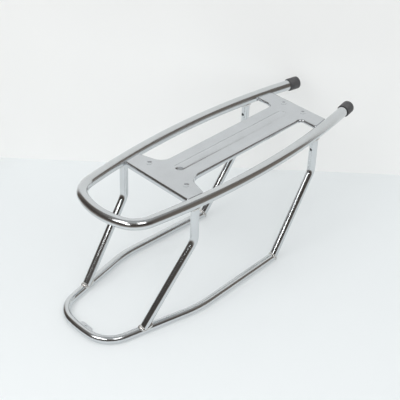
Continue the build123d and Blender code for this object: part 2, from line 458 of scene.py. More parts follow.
@dataclass
class MeshParts:
    """Vertices in millimetres and faces by vertex number, gathered patch by patch."""

    vertices: list[np.ndarray]
    faces: list[list[tuple[int, ...]]]
    count: int = 0

    @classmethod
    def empty(cls) -> "MeshParts":
        """Start with no patches."""
        return cls([], [])

    def grid(self, points: np.ndarray, closed_u: bool = False, closed_v: bool = False) -> None:
        """Add a patch of quads over a grid of points.

        Args:
            points: array of shape (rows, columns, 3).
            closed_u: join the last row to the first.
            closed_v: join the last column to the first.
        """
        rows, columns = points.shape[:2]
        index = np.arange(rows * columns).reshape(rows, columns) + self.count
        if closed_u:
            index = np.vstack([index, index[:1]])
        if closed_v:
            index = np.hstack([index, index[:, :1]])
        quads = np.stack([index[:-1, :-1], index[1:, :-1], index[1:, 1:], index[:-1, 1:]], axis=-1)
        self.vertices.append(points.reshape(-1, 3))
        self.faces.append([tuple(q) for q in quads.reshape(-1, 4).tolist()])
        self.count += rows * columns

    def fan(self, ring: np.ndarray) -> None:
        """Close a ring of points with triangles to its middle.

        Args:
            ring: array of shape (count, 3).
        """
        total = len(ring)
        index = np.arange(total) + self.count
        triangles = np.stack([index, np.roll(index, -1), np.full(total, self.count + total)], axis=-1)
        self.vertices.append(np.vstack([ring, ring.mean(axis=0, keepdims=True)]))
        self.faces.append([tuple(t) for t in triangles.tolist()])
        self.count += total + 1

    def triangles(self, points: np.ndarray, corners: list[tuple[int, ...]]) -> None:
        """Add triangles over points.

        Args:
            points: array of shape (count, 3).
            corners: three point numbers per triangle.
        """
        self.vertices.append(points)
        self.faces.append([tuple(c + self.count for c in corner) for corner in corners])
        self.count += len(points)

    def sweep(self, rings: np.ndarray) -> None:
        """Add a tube's skin with both ends closed.

        Args:
            rings: array of shape (rings, points, 3).
        """
        self.grid(rings, closed_v=True)
        self.fan(rings[0])
        self.fan(rings[-1])

    def build(self, name: str, crease_deg: float = CREASE_DEG, closed: bool = True) -> Any:
        """Merge the patches into one smooth-shaded object at the origin.

        Args:
            name: object name.
            crease_deg: edges that turn by more than this stay sharp.
            closed: whether the result encloses a volume; an open sheet is turned to face up instead.

        Returns:
            The new object, linked to the scene.
        """
        mesh = bpy.data.meshes.new(name)
        mesh.from_pydata((np.vstack(self.vertices) * MM).tolist(), [], sum(self.faces, []))
        work = bmesh.new()
        work.from_mesh(mesh)
        bmesh.ops.remove_doubles(work, verts=work.verts, dist=MERGE_GAP * MM)
        bmesh.ops.dissolve_degenerate(work, edges=work.edges, dist=SLIVER_GAP * MM)
        bmesh.ops.recalc_face_normals(work, faces=work.faces)
        if not closed and sum(f.normal.z * f.calc_area() for f in work.faces) < 0:
            bmesh.ops.reverse_faces(work, faces=work.faces)
        work.to_mesh(mesh)
        work.free()
        smooth(mesh, crease_deg)
        return add_object(name, mesh)


def dress(piece: Any, material: Any, slot: str, *nodes: str) -> Any:
    """Give a piece its material, seat it on the rack and let it stand for CAD nodes.

    Args:
        piece: the new object.
        material: its main material.
        slot: material slot of the record; not used.
        nodes: CAD nodes that the piece stands for.

    Returns:
        The same object.
    """
    piece.data.materials.append(material)
    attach(piece, "root")
    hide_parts(*nodes)
    return piece


@dataclass(frozen=True)
class BentAxis:
    """A tube's axis in one plane, made of straights and arcs that run on smoothly.

    Each bend is a length and a turn in radians, positive towards the left direction.
    """

    start: np.ndarray
    ahead: np.ndarray
    left: np.ndarray
    bends: tuple[tuple[float, float], ...]
    arc_step_deg: float = 2.5
    straight_step: float = 12.0

    @property
    def across(self) -> np.ndarray:
        """Normal of the axis's plane."""
        return np.cross(self.ahead, self.left)

    def sample(self) -> tuple[np.ndarray, np.ndarray]:
        """Points and unit tangents along the axis.

        An arc of radius R from heading a to heading b moves by R (sin b - sin a) ahead and by
        R (cos a - cos b) left.

        Returns:
            Two arrays of shape (count, 3).
        """
        spots, headings = [np.zeros((1, 2))], [np.zeros(1)]
        place, heading = np.zeros(2), 0.0
        for length, turn in self.bends:
            arcs = int(abs(turn) / math.radians(self.arc_step_deg))
            steps = max(arcs, int(length / self.straight_step), 1)
            share = np.arange(1, steps + 1) / steps
            angle = heading + turn * share
            if abs(turn) > STRAIGHT_TURN:
                radius = length / turn
                shift = radius * np.stack(
                    [np.sin(angle) - math.sin(heading), math.cos(heading) - np.cos(angle)], axis=-1
                )
            else:
                shift = length * share[:, None] * np.array([math.cos(heading), math.sin(heading)])
            spots.append(place + shift)
            headings.append(angle)
            place, heading = spots[-1][-1], heading + turn
        flat, angle = np.vstack(spots), np.concatenate(headings)
        basis = np.stack([self.ahead, self.left])
        tangents = np.stack([np.cos(angle), np.sin(angle)], axis=-1) @ basis
        return self.start + flat @ basis, tangents


def whole_loop(points: np.ndarray, tangents: np.ndarray) -> tuple[np.ndarray, np.ndarray]:
    """Join a left half that starts on the middle plane to its mirror image.

    Args:
        points: points of the left half, shape (count, 3).
        tangents: unit tangents there.

    Returns:
        Points and tangents from the right end round to the left end.
    """
    back = mirrored(points[::-1], Side.RIGHT)
    turned = -mirrored(tangents[::-1], Side.RIGHT)
    return np.vstack([back[:-1], points]), np.vstack([turned[:-1], tangents])


def ring_directions(tangents: np.ndarray, across: np.ndarray, count: int) -> np.ndarray:
    """Outward directions round a tube, the cosine of an angle to one side and its sine across the plane.

    Args:
        tangents: unit tangents of the axis, shape (points, 3).
        across: unit normal of the axis's plane.
        count: directions per point.

    Returns:
        Unit vectors of shape (points, count, 3).
    """
    side = np.cross(across, tangents)
    angle = np.linspace(0, 2 * math.pi, count, endpoint=False)
    return np.cos(angle)[None, :, None] * side[:, None] + np.sin(angle)[None, :, None] * across


def inside(ring: np.ndarray, spots: np.ndarray) -> np.ndarray:
    """Whether level spots lie in a closed ring, which then turns once round them.

    Args:
        ring: points of the ring, shape (count, 3).
        spots: points to test, shape (tests, 3).

    Returns:
        One truth value per spot.
    """
    arms = ring[None, :, :2] - spots[:, None, :2]
    angle = np.arctan2(arms[..., 1], arms[..., 0])
    turns = np.diff(angle, axis=1, append=angle[:, :1])
    return np.abs(np.sum((turns + math.pi) % (2 * math.pi) - math.pi, axis=1)) > math.pi


def onto_cylinder(
    points: np.ndarray, heading: np.ndarray, spot: np.ndarray, along: np.ndarray, radius: float
) -> np.ndarray:
    """Slide points along a heading to the near wall of a cylinder.

    Solves |p + t h| = R for t after the part along the cylinder's axis is taken off p and h, and takes
    the lower t.

    Args:
        points: points to slide, shape (count, 3).
        heading: unit direction of travel.
        spot: point on the cylinder's axis.
        along: unit direction of that axis.
        radius: the cylinder's radius.

    Returns:
        The moved points.
    """
    offset = points - spot
    flat = offset - (offset @ along)[:, None] * along
    drift = heading - (heading @ along) * along
    a = drift @ drift
    b = flat @ drift
    c = np.sum(flat * flat, axis=-1) - radius**2
    reach = (-b - np.sqrt(np.maximum(b * b - a * c, 0.0))) / a
    return points + reach[:, None] * heading


def onto_plane(points: np.ndarray, heading: np.ndarray, spot: np.ndarray, normal: np.ndarray) -> np.ndarray:
    """Slide points along a heading to a plane.

    Args:
        points: points to slide, shape (count, 3).
        heading: unit direction of travel.
        spot: point on the plane.
        normal: the plane's normal.

    Returns:
        The moved points.
    """
    reach = ((spot - points) @ normal) / (heading @ normal)
    return points + reach[:, None] * heading


@dataclass(frozen=True)
class UpperRail:
    """Hairpin of tube: a bowed nose, tight corners, long bowed sides and straight ends."""

    diameter: float = 16.0
    height: float = 180.0
    nose_x: float = -196.0
    nose_radius: float = 115.0
    nose_half_deg: float = 20.0
    corner_radius: float = 38.5
    corner_deg: float = 60.0
    side_radius: float = 1000.0
    side_deg: float = 21.8014
    end_length: float = 26.7
    ring_count: int = 64

    @property
    def radius(self) -> float:
        """Outer radius of the tube."""
        return self.diameter / 2

    def half_axis(self) -> BentAxis:
        """Work out the axis of the left half.

        Returns:
            The axis from the nose to the end.
        """
        turns = [math.radians(d) for d in (self.nose_half_deg, self.corner_deg, self.side_deg)]
        radii = (self.nose_radius, self.corner_radius, self.side_radius)
        bends = tuple((r * t, -t) for r, t in zip(radii, turns)) + ((self.end_length, 0.0),)
        return BentAxis(self.nose_x * FORWARD + self.height * UP, LEFT, -FORWARD, bends)

    def at_x(self, x: np.ndarray | float) -> tuple[np.ndarray, np.ndarray]:
        """Point and heading of the left side's axis at a given x, read off the sampled side.

        Args:
            x: one or more x values along the side.

        Returns:
            Points and unit headings with the shape of x and a last axis of three.
        """
        points, tangents = self.half_axis().sample()
        x = np.asarray(x, dtype=float)
        spot = np.stack([np.interp(x, points[:, 0], points[:, k]) for k in range(3)], axis=-1)
        heading = np.stack([np.interp(x, points[:, 0], tangents[:, k]) for k in range(3)], axis=-1)
        return spot, unit(heading)

    def build(self, finishes: Finishes) -> Any:
        """Sweep the tube's circle along both halves and close its ends.

        Args:
            finishes: the rack's materials.

        Returns:
            The new object.
        """
        points, tangents = whole_loop(*self.half_axis().sample())
        parts = MeshParts.empty()
        parts.sweep(points[:, None] + self.radius * ring_directions(tangents, UP, self.ring_count))
        return dress(parts.build("upper_rail_tube"), finishes.bright, "bright_chrome", "upper_rail")


@dataclass(frozen=True)
class LowerRail:
    """U of tube on the floor: a bowed nose, corners, straight tapers, knees and legs with mitred ends."""

    diameter: float = 12.0
    nose_x: float = -243.0
    nose_radius: float = 200.0
    nose_half_deg: float = 6.0
    corner_radius: float = 42.0
    corner_deg: float = 71.4
    taper_length: float = 95.6
    knee_radius: float = 160.0
    knee_deg: float = 15.2
    leg_length: float = 136.478
    rear_foot_distance: float = 26.0
    ring_count: int = 56

    @property
    def radius(self) -> float:
        """Outer radius of the tube."""
        return self.diameter / 2

    def half_axis(self) -> BentAxis:
        """Work out the axis of the left half.

        Returns:
            The axis from the nose to the mitre.
        """
        nose, corner, knee = (math.radians(d) for d in (self.nose_half_deg, self.corner_deg, self.knee_deg))
        bends = (
            (self.nose_radius * nose, -nose),
            (self.corner_radius * corner, -corner),
            (self.taper_length, 0.0),
            (self.knee_radius * knee, -knee),
            (self.leg_length, 0.0),
        )
        return BentAxis(self.nose_x * FORWARD + self.radius * UP, LEFT, -FORWARD, bends)

    def foot(self, kind: Foot) -> tuple[np.ndarray, np.ndarray]:
        """Point and heading of the left half's axis where a strut stands.

        Args:
            kind: coped for the rear strut on the taper, mitred for the front strut at the end.

        Returns:
            The point and the unit heading.
        """
        axis = self.half_axis()
        if kind is Foot.COPED:
            bends = axis.bends[:2] + ((self.rear_foot_distance, 0.0),)
            axis = BentAxis(axis.start, axis.ahead, axis.left, bends)
        points, tangents = axis.sample()
        return points[-1], tangents[-1]

    def build(self, mitre: np.ndarray, finishes: Finishes) -> Any:
        """Sweep the tube's circle and cut both ends on their mitres.

        Args:
            mitre: unit normal of the left mitre plane.
            finishes: the rack's materials.

        Returns:
            The new object.
        """
        points, tangents = whole_loop(*self.half_axis().sample())
        rings = points[:, None] + self.radius * ring_directions(tangents, UP, self.ring_count)
        for end, normal in ((0, mirrored(mitre, Side.RIGHT)), (-1, mitre)):
            rings[end] = onto_plane(rings[end], tangents[end], points[end], normal)
        parts = MeshParts.empty()
        parts.sweep(rings)
        return dress(parts.build("lower_rail_tube"), finishes.bright, "bright_chrome", "lower_rail")


@dataclass(frozen=True)
class Strut:
    """Tube bent once between the rails, coped under the upper rail, with a plating vent if it has a drop."""

    label: str
    foot: Foot
    top_x: float
    bend_x: float
    bend_height: float = 119.0
    bend_radius: float = 22.0
    diameter: float = 12.0
    # How far back up the strut a coped foot's ring starts its slide onto the rail
    run_up: float = 36.0
    # Share of the upper rail's diameter below its axis where plain rings start
    cope_share: float = 0.75
    # Distance of the vent down the strut from the upper rail's axis, zero for no vent
    vent_drop: float = 0.0
    vent_diameter: float = 4.0
    # Depth of the vent, width of the ramp at its edge, and reach of the painted shade round its points
    vent_depth: float = 2.2
    vent_round: float = 0.35
    vent_paint: float = 0.6
    arc_step_deg: float = 2.0
    # Steps along the straights, finer where a vent has to be drawn
    plain_step: float = 8.0
    vented_step: float = 0.5
    ring_count: int = 56

    @property
    def radius(self) -> float:
        """Outer radius of the tube."""
        return self.diameter / 2

    def axis(self, upper: UpperRail, lower: LowerRail) -> BentAxis:
        """Axis of the left strut from the upper rail's axis round the bend to the foot.

        The arc takes radius times tan(half the turn) off each straight.

        Args:
            upper: the upper rail.
            lower: the lower rail.

        Returns:
            The strut's axis.
        """
        top, _ = upper.at_x(self.top_x)
        toe, _ = lower.foot(self.foot)
        bend = np.array([self.bend_x, top[1], self.bend_height])
        first, second = bend - top, toe - bend
        ahead, onward = unit(first), unit(second)
        turn = math.acos(float(ahead @ onward))
        cut = self.bend_radius * math.tan(turn / 2)
        bends = (
            (float(np.linalg.norm(first)) - cut, 0.0),
            (self.bend_radius * turn, turn),
            (float(np.linalg.norm(second)) - cut, 0.0),
        )
        step = self.vented_step if self.vent_drop else self.plain_step
        return BentAxis(top, ahead, unit(onward - (onward @ ahead) * ahead), bends, self.arc_step_deg, step)

    def mitre(self, upper: UpperRail, lower: LowerRail) -> np.ndarray:
        """Normal of the plane that halves the angle between the lower rail's leg and this strut.

        Args:
            upper: the upper rail.
            lower: the lower rail.

        Returns:
            A unit vector.
        """
        _, tangents = self.axis(upper, lower).sample()
        _, heading = lower.foot(Foot.MITRED)
        return unit(heading - tangents[-1])

    def rings(self, upper: UpperRail, lower: LowerRail) -> tuple[np.ndarray, np.ndarray]:
        """Rings of the left strut's skin, coped at the top and cut to its foot.

        Args:
            upper: the upper rail.
            lower: the lower rail.

        Returns:
            Rings of shape (count, ring_count, 3), and the points of the axis that they go round.
        """
        axis = self.axis(upper, lower)
        points, tangents = axis.sample()
        skin = points[:, None] + self.radius * ring_directions(tangents, axis.across, self.ring_count)
        low = skin[0] + upper.diameter * tangents[0]
        coped = onto_cylinder(low, -tangents[0], *upper.at_x(self.top_x), upper.radius)
        keep = ((points - points[0]) @ tangents[0]) > upper.diameter * self.cope_share
        keep[0] = True
        skin, points, tangents = skin[keep], points[keep], tangents[keep]
        skin[0] = coped
        if self.foot is Foot.COPED:
            start = skin[-1] - self.run_up * tangents[-1]
            skin[-1] = onto_cylinder(start, tangents[-1], *lower.foot(self.foot), lower.radius)
        else:
            skin[-1] = onto_plane(skin[-1], tangents[-1], points[-1], self.mitre(upper, lower))
        return skin, points

    def sink_vent(
        self, skin: np.ndarray, points: np.ndarray, axis: BentAxis
    ) -> tuple[np.ndarray, np.ndarray]:
        """Sink the plating vent into the rear of the skin, over a short ramp at the vent's edge.

        Args:
            skin: rings of the left strut.
            points: points of the axis that they go round.
            axis: the strut's axis.

        Returns:
            The sunk rings, and which of their points lie in the vent.
        """
        centre = axis.start + axis.ahead * self.vent_drop
        rear = unit(axis.ahead * axis.ahead[0] - FORWARD)
        level = (skin - centre) @ axis.ahead
        swing = (skin - centre) @ np.cross(axis.ahead, rear)
        away = np.hypot(level, swing)
        facing = ((skin - points[:, None]) @ rear) > 0
        edge = self.vent_diameter / 2
        depth = self.vent_depth * np.clip((edge - away) / self.vent_round, 0.0, 1.0) * facing
        return skin - depth[..., None] * rear, (away < edge) & facing

    def paint_vent_shade(self, piece: Any, spots: np.ndarray, hollow: Any) -> None:
        """Paint the faces in the vent with painted shade for the unlit inside of the tube.

        Args:
            piece: the strut.
            spots: points that lie in its vent.
            hollow: the near-black material of painted shade.
        """
        piece.data.materials.append(hollow)
        centres = np.zeros(len(piece.data.polygons) * 3)
        piece.data.polygons.foreach_get("center", centres)
        gap = np.linalg.norm(centres.reshape(-1, 1, 3) - spots[None] * MM, axis=-1).min(axis=1)
        piece.data.polygons.foreach_set("material_index", (gap < self.vent_paint * MM).astype(np.int32))

    def build(self, upper: UpperRail, lower: LowerRail, finishes: Finishes) -> list[Any]:
        """Build the left strut and its mirror image.

        Args:
            upper: the upper rail.
            lower: the lower rail.
            finishes: the rack's materials.

        Returns:
            The two new objects.
        """
        skin, points = self.rings(upper, lower)
        # Points in the vent, whose faces get painted shade for the tube's unlit inside
        vent_shaded = np.zeros(skin.shape[:2], dtype=bool)
        if self.vent_drop:
            skin, vent_shaded = self.sink_vent(skin, points, self.axis(upper, lower))
        made = []
        for side in Side:
            node = f"{self.label}_{side.name.lower()}"
            parts = MeshParts.empty()
            parts.sweep(mirrored(skin, side))
            piece = dress(parts.build(f"{node}_tube"), finishes.bright, "bright_chrome", node)
            if vent_shaded.any():
                self.paint_vent_shade(piece, mirrored(skin[vent_shaded], side), finishes.hollow)
            made.append(piece)
        return made


@dataclass(frozen=True)
class CarrierPlate:
    """Pressed sheet between the rails: tabs, cut-outs, turned-down edges, a domed bead and round dimples."""

    top: float = 183.0
    thickness: float = 1.5
    flange_depth: float = 8.0
    flange_front_depth: float = 4.5
    bend_radius: float = 4.0
    bend_count: int = 11
    rear_x: float = -96.5
    front_x: float = 192.5
    end_count: int = 48
    rear_tab: float = 26.5
    rear_slant: float = 13.0
    front_tab: float = 28.5
    web_half: float = 29.0
    rear_cutout: float = 18.0
    front_cutout: float = 8.0
    cutout_arc_deg: float = 5.0
    cutout_step: float = 0.8
    # Distance from a rail's axis where the tabs end, hidden in the tube
    buried: float = 5.0
    bead_half: float = 8.5
    bead_height: float = 3.5
    bead_rear: float = 38.0
    bead_front: float = 31.0
    bead_crease: float = 0.30
    bead_count: int = 60
    bead_end_count: int = 25
    # Distances from its line of the rings of a bead of this half width, closest over the crease at its foot
    bead_ring_half: float = 8.5
    bead_rings: tuple[float, ...] = (
        9.6, 9.2, 8.9, 8.65, 8.4, 8.15, 7.85, 7.4, 6.8, 6.0, 5.0, 4.0, 3.0, 2.0, 1.0, 0.0
    )
    dimple_radius: float = 4.75
    dimple_depth: float = 1.9
    dimple_crease: float = 0.16
    dimple_count: int = 40
    # Radii of the rings of a dimple of this radius, closest over the crease at its rim
    dimple_ring_radius: float = 3.5
    dimple_rings: tuple[float, ...] = (4.4, 4.1, 3.8, 3.55, 3.3, 3.0, 2.5, 2.0, 1.4, 0.7, 0.0)
    dimples: tuple[tuple[float, float], ...] = ((-74.5, 38.0), (180.0, 19.5))
    # Level distances from a rail's axis where the tabs start and end their roll down
    roll_outer: float = 10.3
    roll_inner: float = 8.0
    roll_drop: float = 2.2
    # Rows of points that draw the roll: how far they go past it, their number and their step
    roll_margin: float = 0.4
    roll_rows: int = 9
    roll_step: float = 2.3

    def tabs(self) -> tuple[tuple[float, float], tuple[float, float]]:
        """Rear and front x of the rear tab and of the front tab, along the rail."""
        return (self.rear_x, self.rear_x + self.rear_tab), (self.front_x - self.front_tab, self.front_x)

    def bend(self) -> np.ndarray:
        """Inset and height of the quarter-round bend of a turned-down edge, from the wall up.

        Returns:
            Array of shape (count, 2).
        """
        angle = np.linspace(0, math.pi / 2, self.bend_count)
        inset = self.bend_radius * (1 - np.cos(angle))
        return np.stack([inset, self.top + self.bend_radius * (np.sin(angle) - 1)], axis=-1)

    def lower_edge(self, x: np.ndarray) -> np.ndarray:
        """Height of a turned-down edge's lower side, level at the rear tab and rising evenly from its root.

        Args:
            x: places along the plate.

        Returns:
            One height per place.
        """
        root = self.rear_x + self.rear_tab + self.rear_slant
        slope = (self.flange_depth - self.flange_front_depth) / (self.front_x - root)
        return self.top - self.flange_depth + slope * np.maximum(x - root, 0.0)

    def cutout(self, upper: UpperRail) -> tuple[np.ndarray, np.ndarray]:
        """Edge of the left cut-out from the rear tab to the front tab.

        It is three straights with an arc between each two, and an arc takes radius times tan(half the turn)
        off each straight.

        Args:
            upper: the upper rail.

        Returns:
            Points of the edge at height zero, and unit directions into the sheet.
        """
        rail = np.array([self.rear_x + self.rear_tab, upper.at_x(self.rear_x + self.rear_tab)[0][1]])
        root = np.array([rail[0] + self.rear_slant, self.web_half])
        ahead = unit(root - rail)
        start = rail + ahead * self.buried
        turn = math.acos(float(ahead[0]))
        front = self.front_x - self.front_tab
        rear_cut = self.rear_cutout * math.tan(turn / 2)
        end = upper.at_x(front)[0][1] - self.buried
        bends = (
            (float(np.linalg.norm(root - start)) - rear_cut, 0.0),
            (self.rear_cutout * turn, turn),
            (front - root[0] - rear_cut - self.front_cutout, 0.0),
            (self.front_cutout * math.pi / 2, math.pi / 2),
            (float(end) - self.web_half - self.front_cutout, 0.0),
        )
        axis = BentAxis(
            np.append(start, 0.0),
            np.append(ahead, 0.0),
            np.array([-ahead[1], ahead[0], 0.0]),
            bends,
            self.cutout_arc_deg,
            self.cutout_step,
        )
        points, tangents = axis.sample()
        return points, np.cross(tangents, UP)

    def edge(self, points: np.ndarray, inward: np.ndarray) -> np.ndarray:
        """Carry the turned-down wall and its bend along an edge.

        Args:
            points: points of the edge at height zero, shape (points, 3).
            inward: unit directions into the sheet there.

        Returns:
            Grid of shape (points, profile, 3), from the wall's lower side to the level sheet.
        """
        bend = self.bend()
        arc = points[:, None] + bend[None, :, :1] * inward[:, None] + bend[None, :, 1:] * UP
        low = points + self.lower_edge(points[:, 0])[:, None] * UP
        return np.concatenate([low[:, None], (low[:, None] + arc[:, :1]) / 2, arc], axis=1)

    def end_band(self, x: float, inward: float, upper: UpperRail) -> np.ndarray:
        """Turned-down edge at one end of the plate, from the right rail to the left one.

        Args:
            x: place of the edge.
            inward: sign of x into the sheet.
            upper: the upper rail.

        Returns:
            Grid of shape (points, profile, 3).
        """
        rail = float(upper.at_x(x)[0][1])
        reach = rail - self.buried
        rows = rail - self.roll_gaps()
        y = np.sort(np.concatenate([np.linspace(-reach, reach, self.end_count), -rows, rows]))
        line = np.stack([np.full_like(y, x), y, np.zeros_like(y)], axis=-1)
        return self.settle(self.edge(line, np.tile(inward * FORWARD, (len(y), 1))), upper)

    def dome(self, away: np.ndarray, half: float, height: float, crease: float) -> np.ndarray:
        """Height of a pressed cap at distances from its middle, none at the first of them.

        The cap is a circle of radius (half squared + height squared) / (2 height). A soft maximum with zero,
        (d + sqrt(d squared + crease squared)) / 2, rounds its foot.

        Args:
            away: distances, from the outermost in.
            half: the cap's half width.
            height: the cap's height.
            crease: size of the rounding at its foot.

        Returns:
            One height per distance.
        """
        radius = (half**2 + height**2) / (2 * height)
        rise = np.sqrt(radius**2 - away**2) - (radius - height)
        cap = (rise + np.sqrt(rise**2 + crease**2)) / 2
        return cap - cap[0]

    def bead(self) -> np.ndarray:
        """Domed bead round a line with half-round ends.

        Returns:
            Grid of shape (round, rings, 3), from the bead's foot in to its ridge.
        """
        away = np.array(self.bead_rings) * self.bead_half / self.bead_ring_half
        back = self.rear_x + self.bead_rear + self.bead_half
        fore = self.front_x - self.bead_front - self.bead_half
        line = np.linspace(back, fore, self.bead_count)
        side = np.full(self.bead_count, math.pi / 2)
        swing = np.linspace(-math.pi / 2, math.pi / 2, self.bead_end_count)[1:-1]
        spine = np.concatenate([line, np.full(len(swing), fore), line[::-1], np.full(len(swing), back)])
        angle = np.concatenate([-side, swing, side, swing + math.pi])
        x = spine[:, None] + np.cos(angle)[:, None] * away
        y = np.sin(angle)[:, None] * away
        z = self.top + self.dome(away, self.bead_half, self.bead_height, self.bead_crease)
        return np.stack([x, y, np.broadcast_to(z, x.shape)], axis=-1)

    def dimple(self, x: float, y: float) -> np.ndarray:
        """One round dimple, a dome turned down.

        Args:
            x: place of its middle.
            y: place of its middle.

        Returns:
            Grid of shape (round, rings, 3), from the dimple's rim in to its middle.
        """
        away = np.array(self.dimple_rings) * self.dimple_radius / self.dimple_ring_radius
        angle = np.linspace(0, 2 * math.pi, self.dimple_count, endpoint=False)
        z = self.top - self.dome(away, self.dimple_radius, self.dimple_depth, self.dimple_crease)
        flat = np.stack([np.cos(angle)[:, None] * away + x, np.sin(angle)[:, None] * away + y], axis=-1)
        return np.concatenate([flat, np.broadcast_to(z, flat.shape[:2])[..., None]], axis=-1)

    def settle(self, points: np.ndarray, upper: UpperRail) -> np.ndarray:
        """Roll the sheet down beside the rails, by a smooth step of the level distance from a rail's axis.

        Args:
            points: points of the sheet, with a last axis of three.
            upper: the upper rail.

        Returns:
            The lowered points.
        """
        spot, heading = upper.at_x(points[..., 0])
        away = (spot[..., 1] - np.abs(points[..., 1])) * heading[..., 0]
        share = np.clip((self.roll_outer - away) / (self.roll_outer - self.roll_inner), 0.0, 1.0)
        return points - (self.roll_drop * share**2 * (3 - 2 * share))[..., None] * UP

    def roll_gaps(self) -> np.ndarray:
        """Distances from a rail's axis of the rows of points that draw the roll."""
        margin = self.roll_margin
        return np.linspace(self.roll_outer + margin, self.roll_inner - margin, self.roll_rows)

    def rail_rows(self, upper: UpperRail, outline: np.ndarray) -> np.ndarray:
        """Points in rows along the rails, near enough to each other to draw the rolled sides of the tabs.

        Args:
            upper: the upper rail.
            outline: ring round the level sheet.

        Returns:
            The points that lie in the outline, shape (count, 3).
        """
        gaps = self.roll_gaps()
        rows = []
        for rear_x, front_x in self.tabs():
            spot, heading = upper.at_x(np.arange(rear_x, front_x + self.rear_slant, self.roll_step))
            inward = np.cross(heading, UP)
            rows.append((spot[:, None] + gaps[None, :, None] * inward[:, None]).reshape(-1, 3))
        left = np.vstack(rows)
        both = np.vstack([mirrored(left, side) for side in Side])
        return both[inside(outline, both)]

    def flat(self, loops: list[np.ndarray], extra: np.ndarray) -> tuple[np.ndarray, list[tuple[int, ...]]]:
        """Fill the level sheet inside the first loop and outside the others with triangles.

        Args:
            loops: closed rings of points at the sheet's level, the outline first.
            extra: more points of the sheet, inside the outline.

        Returns:
            Points and triangles.
        """
        edges, first = [], 0
        for loop in loops:
            index = np.arange(len(loop)) + first
            edges += list(zip(index.tolist(), np.roll(index, -1).tolist()))
            first += len(loop)
        places = [tuple(p) for p in np.vstack([*loops, extra])[:, :2].tolist()]
        points, _, faces, *_ = delaunay_2d_cdt(places, edges, [], 1, LEVEL_GAP)
        level = np.array([[p[0], p[1], self.top] for p in points])
        middles = level[np.array(faces)].mean(axis=1)
        covered = np.any([inside(loop, middles) for loop in loops[1:]], axis=0)
        return level, [tuple(f) for f, hidden in zip(faces, covered) if not hidden]

    def skin(self, upper: UpperRail) -> MeshParts:
        """Upper skin of the sheet: turned-down edges, bead, dimples and the level sheet between them.

        Args:
            upper: the upper rail.

        Returns:
            The skin's patches.
        """
        rear = self.end_band(self.rear_x, 1.0, upper)
        front = self.end_band(self.front_x, -1.0, upper)
        left = self.settle(self.edge(*self.cutout(upper)), upper)
        right = mirrored(left, Side.RIGHT)
        pressed = [self.bead()] + [self.dimple(x, side.value * y) for x, y in self.dimples for side in Side]
        parts = MeshParts.empty()
        for band in (rear, front, left, right):
            parts.grid(band)
        for form in pressed:
            parts.grid(form, closed_u=True)
        outline = np.vstack([rear[:, -1], left[:, -1], front[::-1, -1], right[::-1, -1]])
        loops = [outline] + [form[:, 0] for form in pressed]
        level, faces = self.flat(loops, self.rail_rows(upper, outline))
        parts.triangles(self.settle(level, upper), faces)
        return parts

    def build(self, upper: UpperRail, finishes: Finishes) -> Any:
        """Build the sheet's upper skin, then give it its thickness.

        Args:
            upper: the upper rail.
            finishes: the rack's materials.

        Returns:
            The new object.
        """
        skin = self.skin(upper).build("plate_skin", closed=False)
        thicken(skin, self.thickness).use_even_offset = True
        bpy.context.view_layer.update()
        solid = bpy.data.meshes.new_from_object(skin.evaluated_get(bpy.context.evaluated_depsgraph_get()))
        bpy.data.objects.remove(skin)
        smooth(solid, CREASE_DEG)
        piece = add_object("carrier_plate_sheet", solid)
        piece.modifiers.new("level_faces_lead", "WEIGHTED_NORMAL").keep_sharp = True
        return dress(piece, finishes.satin, "satin_chrome", "carrier_plate")


@dataclass(frozen=True)
class EndCap:
    """Rubber cup pushed over a rail's end, with a rounded end and a thin softened rim."""

    length: float = 19.0
    radius: float = 9.65
    bore: float = 8.05
    bore_chamfer: float = 0.3
    end_wall: float = 3.0
    end_round: float = 3.5
    rim_round: float = 0.6
    round_count: int = 10
    # Places of the rings along the side, as shares of the length
    side_shares: tuple[float, ...] = (0.6, 0.3)
    crease_deg: float = 50.0
    ring_count: int = 72

    def profile(self) -> np.ndarray:
        """Outline of half the cap, from the middle of its end over the outside and rim into the bore.

        Returns:
            Distance along the cap and radius, shape (count, 2).
        """
        quarter = np.linspace(0, math.pi / 2, self.round_count)
        big, small = self.end_round, self.rim_round
        end_centre = np.array([self.length - big, self.radius - big])
        rim_centre = np.array([small, self.radius - small])
        depth = self.length - self.end_wall
        return np.vstack(
            [
                [[self.length, 0.0], [self.length, (self.radius - big) / 2]],
                end_centre + big * np.stack([np.cos(quarter), np.sin(quarter)], axis=-1),
                [[share * self.length, self.radius] for share in self.side_shares],
                rim_centre + small * np.stack([-np.sin(quarter), np.cos(quarter)], axis=-1),
                [[0.0, self.bore + self.bore_chamfer], [self.bore_chamfer, self.bore]],
                [[depth, self.bore], [depth, 0.0]],
            ]
        )

    def build(self, upper: UpperRail, finishes: Finishes) -> list[Any]:
        """Turn the profile about each end of the upper rail.

        Args:
            upper: the upper rail.
            finishes: the rack's materials.

        Returns:
            The two new objects.
        """
        points, tangents = upper.half_axis().sample()
        heading = tangents[-1]
        mouth = points[-1] - heading * (self.length - self.end_wall)
        out = ring_directions(heading[None], UP, self.ring_count)[0]
        profile = self.profile()
        skin = mouth + profile[:, None, :1] * heading + profile[:, None, 1:] * out[None]
        made = []
        for side in Side:
            node = f"end_cap_{side.name.lower()}"
            parts = MeshParts.empty()
            parts.grid(mirrored(skin, side), closed_v=True)
            piece = parts.build(f"{node}_rubber", self.crease_deg)
            made.append(dress(piece, finishes.rubber, "black_rubber", node))
        return made


